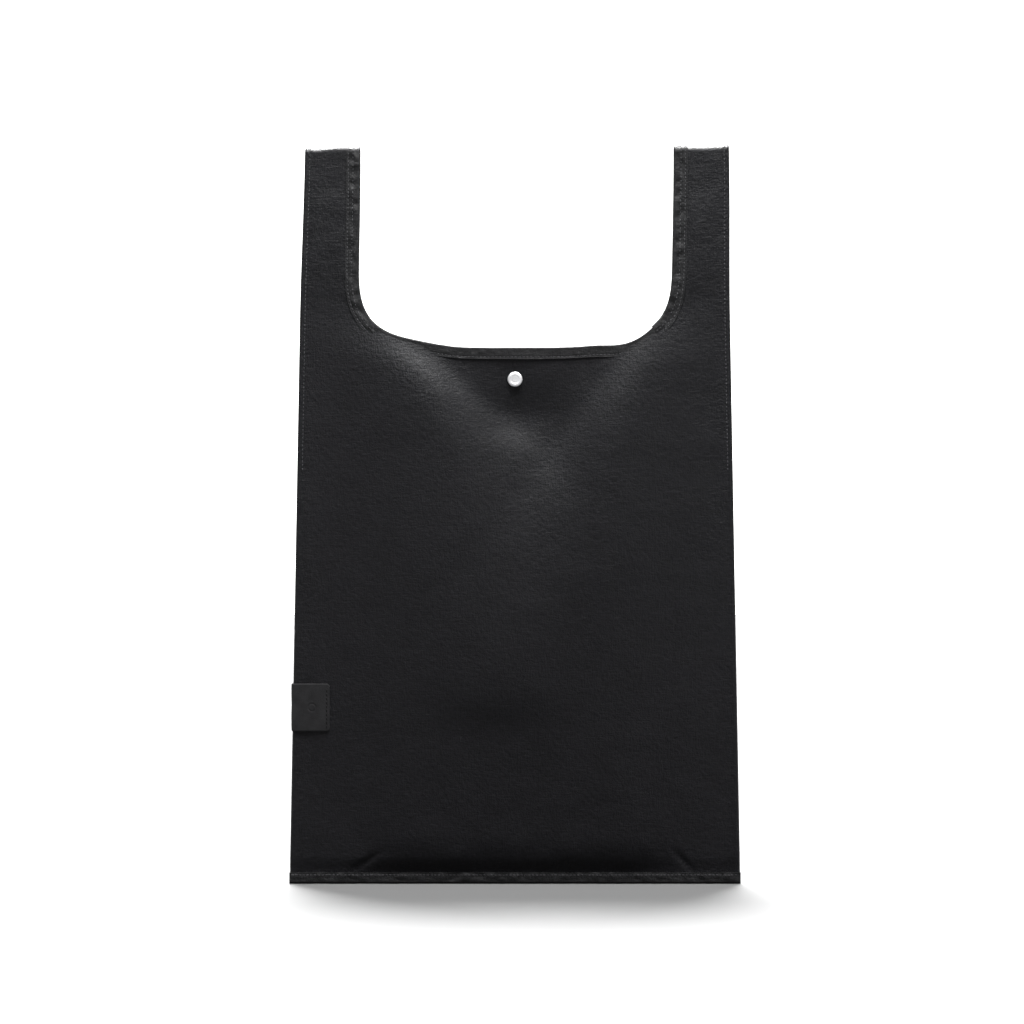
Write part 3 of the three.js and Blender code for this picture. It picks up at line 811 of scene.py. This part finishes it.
# ---- stitches
THREAD_STAND = np.array([-0.35, 0.34, 0.34, -0.35])[:, None]  # height of a stitch's axis, in thread widths
THREAD_HALF = np.array([0.34, 0.5, 0.5, 0.34])[:, None, None]  # half its width there, in thread widths
THREAD_FLAT = 0.8  # a stitch is pressed this flat
THREAD_CORNERS = 6
SIDE_INSET = 4.2  # the rows along the outer edges run this far inside them
SIDE_ROWS_LOW = GUSSET_TOP - 108
MIDDLE_INSET = 5.2  # the second row on a handle's tape


def surface_of(piece):
    """What rays are cast at to find the piece's faces, in millimetres."""
    points = [Vector(v.co) / MM for v in piece.data.vertices]
    return BVHTree.FromPolygons(points, [tuple(p.vertices) for p in piece.data.polygons])


def band_faces(base, rings, corners):
    """Faces between rings of points that follow each other from point base on."""
    faces = []
    for near in range(base, base + (rings - 1) * corners, corners):
        far = near + corners
        for k in range(corners):
            n = (k + 1) % corners
            faces.append((near + k, near + n, far + n, far + k))
    return faces


def stitch_row(name, piece, line, toward, pitch=3.1, thick=0.58, look=THREAD_LOOK):
    """A row of stitches along a line that lies above the piece. Each is a short length of thread whose
    ends go down into the cloth. toward is the way down, one direction or one for each point."""
    surface = surface_of(piece)
    run = np.concatenate([[0], np.cumsum(np.linalg.norm(np.diff(line, axis=0), axis=1))])
    even = np.linspace(0, run[-1], max(2, int(round(run[-1] / (pitch / 4))) + 1))

    def at_marks(values):
        return np.stack([np.interp(even, run, values[:, k]) for k in range(3)], -1)

    floor = at_marks(line)
    ways = at_marks(np.broadcast_to(toward, line.shape))
    ways /= np.linalg.norm(ways, axis=-1, keepdims=True)
    found = np.zeros(len(floor), bool)
    for i, way in enumerate(ways):
        hit = surface.ray_cast(Vector(floor[i] - way * 6), Vector(way), 12)[0]
        if hit is not None:
            floor[i], found[i] = hit, True
    angle = np.arange(THREAD_CORNERS) * 2 * math.pi / THREAD_CORNERS
    turn_across, turn_up = np.cos(angle)[None, :, None], np.sin(angle)[None, :, None]
    width = thick * THREAD_HALF
    stitches, faces = [], []
    for start in range(0, len(floor) - 3, 4):
        if not found[start:start + 4].all():
            continue
        spine = floor[start:start + 4] - ways[start:start + 4] * thick * THREAD_STAND
        tangent = spine[3] - spine[0]
        tangent /= np.linalg.norm(tangent)
        across = np.cross(tangent, ways[start])
        across /= np.linalg.norm(across)
        up = np.cross(tangent, across)
        wide, high = across * turn_across * width, up * turn_up * width * THREAD_FLAT
        base = 4 * THREAD_CORNERS * len(stitches)
        stitches.append((spine[:, None, :] + wide + high).reshape(-1, 3))
        first = range(base, base + THREAD_CORNERS)
        last = range(base + 3 * THREAD_CORNERS, base + 4 * THREAD_CORNERS)
        faces += [*band_faces(base, 4, THREAD_CORNERS), tuple(reversed(first)), tuple(last)]
    return link(raw_mesh(name, np.concatenate(stitches), faces, None, 80), name, look)


def tape_stitches(name, tape, tape_line, across):
    """Rows of stitches on both faces of a folded tape, across mm from the edge that it covers."""
    edge, into, out, _ = tape_line
    rows = []
    for face, ending in ((1, ""), (-1, "_inside")):
        line = edge + into * across + out * face * 4
        rows.append(stitch_row(name + ending, tape, line, -out * face))
    return rows


def straight_stitches(name, piece, x, z, face, away=8, **thread):
    """A row of stitches on a face of a piece, found by looking straight at it from away mm."""
    way = FACES[face]
    line = np.stack([x, 0 * x + way * away, z], -1)
    return stitch_row(f"{name}_{face}", piece, line, (0, -way, 0), **thread)


NECK_ROW = BINDING_WIDTH - STITCH_INSET
front_tape_rows = tape_stitches("neckline_stitches_front", front_tape, front_tape_line, NECK_ROW)
back_tape_rows = tape_stitches("neckline_stitches_back", back_tape, back_tape_line, NECK_ROW)

handle_rows = {side: [] for side in SIDES}
for side, (tape, tape_line) in handle_tapes.items():
    for row, inset in (("edge", STITCH_INSET), ("middle", MIDDLE_INSET)):
        row_name = f"{side}_handle_{row}_stitches"
        handle_rows[side] += tape_stitches(row_name, tape, tape_line, HANDLE_TAPE_WIDTH - inset)


def outer_edge_stitches(side):
    """The row that holds the folded outer edge of a handle."""
    run = np.arange(0, LOOP_RUN, 2.0)
    z, y = loop_station(run)
    x = SIDES[side] * (half_width(z) - SIDE_INSET)
    normal = loop_normal(run)
    line = np.stack([x + lean(z), y, z], -1) + normal * 2
    return stitch_row(f"{side}_handle_outer_stitches", handles[side], line, -normal)


for side in SIDES:
    handle_rows[side].append(outer_edge_stitches(side))

# these rows carry on down both side edges of the panels to where the gussets are closed
side_rows = []
side_z = np.arange(SIDE_ROWS_LOW, ROOT_Z, 2.0)
for face, panel_cloth in (("front", front_upper), ("back", back_cloth)):
    for side, sign in SIDES.items():
        side_x = sign * (half_width(side_z) - SIDE_INSET)
        side_rows.append(straight_stitches(f"{side}_side_stitches", panel_cloth, side_x, side_z, face))

seam_x = np.arange(-SEAM_HALF + 1.5, SEAM_HALF - 1.0, 2.0)
seam_z = 0 * seam_x + SEAM_STITCH_Z
bottom_rows = [
    straight_stitches("bottom_stitches", seam_tape, seam_x, seam_z, face, pitch=3.0) for face in FACES
]


# ---- leather tab
TAB_THICK = 1.1
TAB_GAP = 0.55  # room under the leather for the cloth's folded edge
TAB_CORNER = 2.6
TAB_BEND = 4.0  # how far its turn reaches out
TAB_SQUARE = 0.55  # how square its turn is, 1 being an ellipse
TAB_INSET = 2.4  # its stitches run this far from its free edges
MARK_RUN = 14.0  # a plain ring pressed into the front, this far from its free edge
MARK_RADIUS = 3.0


def leather_tab():
    """Leather folded round the left side edge, its two ends level on the front and the back."""
    z_middle = (TAB_LOW[2] + TAB_HIGH[2]) / 2
    half = (TAB_HIGH[2] - TAB_LOW[2]) / 2
    reach = half_width(z_middle) + 1.3
    flat_y = PANEL_Y + TAB_GAP + TAB_THICK
    inner_x = -TAB_HIGH[0]
    straight = reach - TAB_BEND - inner_x
    turn = np.linspace(0, math.pi, 25)
    bend_x = TAB_BEND * np.abs(np.sin(turn)) ** TAB_SQUARE
    bend_y = flat_y * np.sign(np.cos(turn)) * np.abs(np.cos(turn)) ** TAB_SQUARE
    legs = np.concatenate([[0, 0.25, 0.6, 1.1, 1.7], np.arange(2.2, straight - 0.3, 0.5)])
    x = np.concatenate([inner_x + legs, reach - TAB_BEND + bend_x, (inner_x + legs)[::-1]])
    y = np.concatenate([0 * legs - flat_y, -bend_y, 0 * legs + flat_y])
    run = run_along(x, y)
    ends = np.minimum(run, run[-1] - run)
    from_corner = np.clip(TAB_CORNER - ends, 0, None)
    drop = TAB_CORNER - np.sqrt(np.clip(TAB_CORNER ** 2 - from_corner ** 2, 0, None))
    by_edge = np.array([0.93, 0.96, 0.988, 1])
    share = np.concatenate([-by_edge[::-1], np.linspace(-0.9, 0.9, 69), by_edge])
    z = z_middle + share[None, :] * (half - drop)[:, None]
    rim = np.minimum(ends[:, None], (half - drop)[:, None] * (1 - np.abs(share))[None, :])
    soften = 0.30 * np.clip(1 - rim / 0.8, 0, 1) ** 2
    ease = 0.10 * layered(run[:, None] / 14, z / 12, 120, 2)
    from_mark = np.hypot(run[:, None] - MARK_RUN, z - z_middle)
    press = 0.16 * np.exp(-((ends[:, None] - TAB_INSET) / 0.5) ** 2)
    press = press + 0.34 * np.exp(-((from_mark - MARK_RADIUS) / 0.55) ** 2)
    lift = ease - soften - press
    tangent = np.stack([np.gradient(x), np.gradient(y)], -1)
    tangent /= np.linalg.norm(tangent, axis=-1, keepdims=True)
    points = np.stack([-(x[:, None] + tangent[:, 1:] * lift), y[:, None] - tangent[:, :1] * lift, z], -1)
    flat = np.stack([run[:, None] + 0 * z, z + 0 * run[:, None]], -1) + np.array([5000.0, 0])
    points, flat, normals = facing_out(points, flat, 2, len(share) // 2, (0, -1, 0))
    return sheet_piece("leather_tab_cover", points, flat, TAB_THICK, LEATHER_LOOK, normals=normals)


tab = leather_tab()
tab_thread = {"pitch": 3.2, "thick": 0.75, "look": DARK_THREAD_LOOK}
tab_z = np.arange(TAB_LOW[2] + 2.6, TAB_HIGH[2] - 2.4, 1.0)
tab_x = 0 * tab_z + TAB_HIGH[0] - TAB_INSET
tab_rows = [straight_stitches("tab_stitches", tab, tab_x, tab_z, face, 10, **tab_thread) for face in FACES]


# ---- snap fastener
TURNED_CORNERS = 56


def lathe(name, profile):
    """A metal part turned about the snap's axis, which runs along y. The profile's pairs are radius and
    y, from the axis at the back to the axis at the front."""
    points = []
    for radius, y in profile[1:-1]:
        for angle in np.arange(TURNED_CORNERS) * 2 * math.pi / TURNED_CORNERS:
            points.append((SNAP_X + radius * math.cos(angle), y, SNAP_Z + radius * math.sin(angle)))
    back = len(points)
    last = back - TURNED_CORNERS
    points += [(SNAP_X, profile[0][1], SNAP_Z), (SNAP_X, profile[-1][1], SNAP_Z)]
    faces = band_faces(0, len(profile) - 2, TURNED_CORNERS)
    for k in range(TURNED_CORNERS):
        n = (k + 1) % TURNED_CORNERS
        faces += [(back, n, k), (back + 1, last + k, last + n)]
    return link(raw_mesh(name, points, faces, None, 40), name, METAL_LOOK)


def turns(start, way, *pairs):
    """Points of a profile from pairs of radius and distance from the plane where y is start."""
    return [(radius, start + way * away) for radius, away in pairs]


def snap_profiles():
    """Cap with turned rings, socket and stud with rolled rims, and the post's flat button."""
    r = CAP_RADIUS
    front, back = CAP_LOW[1], CAP_HIGH[1]
    base = front + 1.6 + 0.05
    cap = turns(front, 1, (0, 0.35), (1.5, 0.36), (1.9, 0.22), (2.3, 0.34), (2.9, 0.40), (3.3, 0.30),
                (3.7, 0.02), (4.2, 0.05), (4.7, 0.16), (5.2, 0.42), (5.7, 0.85), (r - 0.06, 1.25), (r, 1.45))
    cap += [(r - 0.15, base), (1.8, base), (1.8, back), (0, back)]
    front, back = (corner[1] for corner in node_box("snap_socket"))
    socket = turns(front, 1, (0, 0), (5.0, 0), (5.25, 0.15), (5.3, 0.5))
    socket += turns(back, -1, (5.25, 0.6), (5.05, 0.15), (4.6, 0), (3.9, 0.2), (3.3, 0.25), (2.9, 0.02),
                    (2.7, 0.2))
    socket += [(2.7, -1.5), (0, -1.5)]
    front, back = (corner[1] for corner in node_box("snap_stud"))
    stud = [(0, back), (5.0, back), (5.2, back - 0.2), (5.2, 1.75), (5.1, 1.45), (4.7, 1.25), (3.0, 1.3),
            (2.3, 1.15), (1.95, 0.9), (1.9, 0.2), (2.15, -0.15), (2.2, -0.35), (2.05, -0.7), (1.7, -0.95),
            (1.2, -1.08), (0, front)]
    front, back = (corner[1] for corner in node_box("snap_post"))
    post = turns(back, -1, (0, 0), (3.2, 0), (3.6, 0.12), (4.0, 0.02), (4.9, 0.05), (5.4, 0.3), (5.5, 0.7),
                 (5.4, 1.15), (1.8, 1.2))
    post += [(1.8, front), (0, front)]
    return {"cap": cap[::-1], "socket": socket[::-1], "stud": stud, "post": post}


snap = {part: lathe(f"snap_{part}_turned", profile) for part, profile in snap_profiles().items()}


def snap_patch(cad_node, depth, face):
    """The square of cloth behind the snap on the inside of a panel, its corners rounded."""
    low, high = node_box(cad_node)
    size = (high - low) / 2
    across, up = np.meshgrid(np.linspace(-1, 1, 25), np.linspace(-1, 1, 25))
    corner = 1 - 0.06 * (across ** 8) * (up ** 8)
    x = SNAP_X + across * size[0] * corner
    z = SNAP_Z + up * size[2] * corner
    points = np.stack([x, face * (depth(x, z) - CLOTH - 0.15), z], -1)
    flat = np.stack([x + 6000, z], -1)
    if face > 0:
        points, flat = points[:, ::-1], flat[:, ::-1]
    return sheet_piece(f"{cad_node}_cloth", points, flat, TAPE, TAPE_LOOK)


front_patch = snap_patch("front_snap_patch", front_depth, -1)
back_patch = snap_patch("back_snap_patch", back_depth, 1)


# ---- placements baked into pieces, and pieces hung from their bodies
for piece in (front_lower, back_cloth, *gussets.values()):
    follow_fold(piece)
for piece in (front_upper, front_tape, *front_tape_rows):
    follow_mouth(piece)
for side in SIDES:
    for piece in (handles[side], handle_tapes[side][0], *handle_rows[side]):
        follow_handle(piece)
for piece in (snap["cap"], snap["socket"], front_patch):
    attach(piece, "front_mouth")
for piece in (snap["stud"], snap["post"], back_patch, back_tape, *back_tape_rows, *side_rows):
    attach(piece, "upper")
for piece in (seam_tape, *bottom_rows, tab, *tab_rows):
    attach(piece, "lower")


def stands_for(piece, slot, *nodes):
    """Hides the CAD nodes that a piece replaces; slot is not used."""
    if nodes:
        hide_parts(*nodes)


stands_for(front_lower, "bag_cloth", "front_panel_lower", "front_panel_upper")
stands_for(front_upper, "bag_cloth", "front_mouth_panel", "left_shoulder_front", "right_shoulder_front")
stands_for(back_cloth, "bag_cloth", "back_panel_lower", "back_panel_upper")
for side in SIDES:
    stands_for(gussets[side], "bag_cloth", f"{side}_gusset_lower", f"{side}_gusset_upper")
neck_nodes = ("neckline_binding_front", "left_shoulder_binding", "right_shoulder_binding")
stands_for(front_tape, "binding_tape", *neck_nodes)
stands_for(back_tape, "binding_tape", "neckline_binding_back")
for side in SIDES:
    strips = [f"{side}_handle_{part}" for part in ("front_strip", "back_strip", "crown")]
    bindings = [f"{side}_handle_binding_{face}" for face in FACES]
    stands_for(handles[side], "bag_cloth", *strips)
    stands_for(handle_tapes[side][0], "binding_tape", *bindings)
stands_for(seam_tape, "binding_tape", "bottom_binding")
stands_for(tab, "tab_leather", "leather_tab")
for part, piece in snap.items():
    stands_for(piece, "snap_metal", f"snap_{part}")
stands_for(front_patch, "binding_tape", "front_snap_patch")
stands_for(back_patch, "binding_tape", "back_snap_patch")
rows_on_handles = (*handle_rows["left"], *handle_rows["right"])
for piece in (*front_tape_rows, *back_tape_rows, *rows_on_handles, *side_rows, *bottom_rows, *tab_rows):
    stands_for(piece, "binding_tape")

for piece in (front_lower, front_upper, back_cloth, *handles.values()):
    declare_sheet(piece)
for piece in (*gussets.values(), front_tape, back_tape, seam_tape, tab):
    declare_sheet(piece)
for tape, _ in handle_tapes.values():
    declare_sheet(tape)
for piece in (front_patch, back_patch):
    declare_sheet(piece)


# ---- floor, light and camera
FLOOR_Z = min(cad_box[0][2], 0) - 0.0003
HALL = 9.0  # half width of the floor
WALL_Y = 5.0
WALL_TOP = 6.0
FLOOR_FRONT = -18.0
SIDE_WALL = 3.0  # half length of the lit screens at the sides


def stage_material(name, value, glow=0.0):
    material, _, shader = new_material(name)
    give(shader, Base_Color=(value, value, value, 1), Roughness=0.9, Specular_IOR_Level=0.1)
    give(shader, Emission_Color=(1, 1, 1, 1), Emission_Strength=glow)
    return material


def stage_plane(name, corners, material):
    mesh = bpy.data.meshes.new(name)
    mesh.from_pydata(corners, [], [(0, 1, 2, 3)])
    plane = link(mesh, name, material)
    return plane


def lit_wall(name, start, end, material):
    """A wall over a line on the floor. It casts no shadow, so the light from behind reaches the floor."""
    corners = [(*start, FLOOR_Z), (*end, FLOOR_Z), (*end, WALL_TOP), (*start, WALL_TOP)]
    stage_plane(name, corners, material).visible_shadow = False


floor_corners = [(-HALL, FLOOR_FRONT), (HALL, FLOOR_FRONT), (HALL, WALL_Y), (-HALL, WALL_Y)]
stage_plane("floor", [(x, y, FLOOR_Z) for x, y in floor_corners], stage_material("pale_floor", 0.055))
backdrop_look = stage_material("lit_backdrop", 0.8, glow=1.1)
lit_wall("backdrop", (-HALL, WALL_Y), (HALL, WALL_Y), backdrop_look)
for name, x in (("left_screen", -HALL), ("right_screen", HALL)):
    lit_wall(name, (x, -SIDE_WALL), (x, SIDE_WALL), backdrop_look)


def soft_sun(name, toward_light, strength, spread):
    """Even light from one side, as from a large soft box far away. spread is its angle across."""
    data = bpy.data.lights.new(name, "SUN")
    data.energy = strength
    data.angle = math.radians(spread)
    lamp = add_object(name, data)
    lamp.rotation_euler = Vector(toward_light).to_track_quat("Z", "Y").to_euler()


soft_sun("key", (0.02, -0.30, 0.9), 6.0, 18)
soft_sun("left_fill", (-0.75, -0.60, 0.45), 0.6, 60)
soft_sun("right_fill", (0.75, -0.60, 0.45), 0.6, 60)
soft_sun("back", (-0.05, 0.42, 0.9), 58, 30)

# a soft box near the object, whose light falls off down it
BOX_PLACE = Vector((0.08, -0.52, 1.75))
BOX_TARGET = Vector((0, 0, 0.45))
box_data = bpy.data.lights.new("upper_key", "AREA")
box_data.shape = "RECTANGLE"
box_data.size, box_data.size_y = 0.9, 0.6
box_data.energy = 108
box = add_object("upper_key", box_data)
box.location = BOX_PLACE
box.rotation_euler = (BOX_TARGET - BOX_PLACE).to_track_quat("-Z", "Y").to_euler()

world = bpy.data.worlds.new("studio")
world.use_nodes = True
background = next(n for n in world.node_tree.nodes if n.type == "BACKGROUND")
give(background, Color=(1, 1, 1, 1), Strength=0.12)
scene = bpy.context.scene
scene.world = world
scene.view_settings.view_transform = "Standard"

CAMERA_RISE = math.radians(0.4)
CAMERA_AWAY = 2.275
target = Vector((-0.0024, 0, 0.297))
camera_data = bpy.data.cameras.new("camera")
camera_data.lens = 100
camera_data.sensor_width = 36
camera = add_object("camera", camera_data)
camera.location = target + Vector((0, -math.cos(CAMERA_RISE), math.sin(CAMERA_RISE))) * CAMERA_AWAY
camera.rotation_euler = (target - camera.location).to_track_quat("-Z", "Y").to_euler()
scene.camera = camera
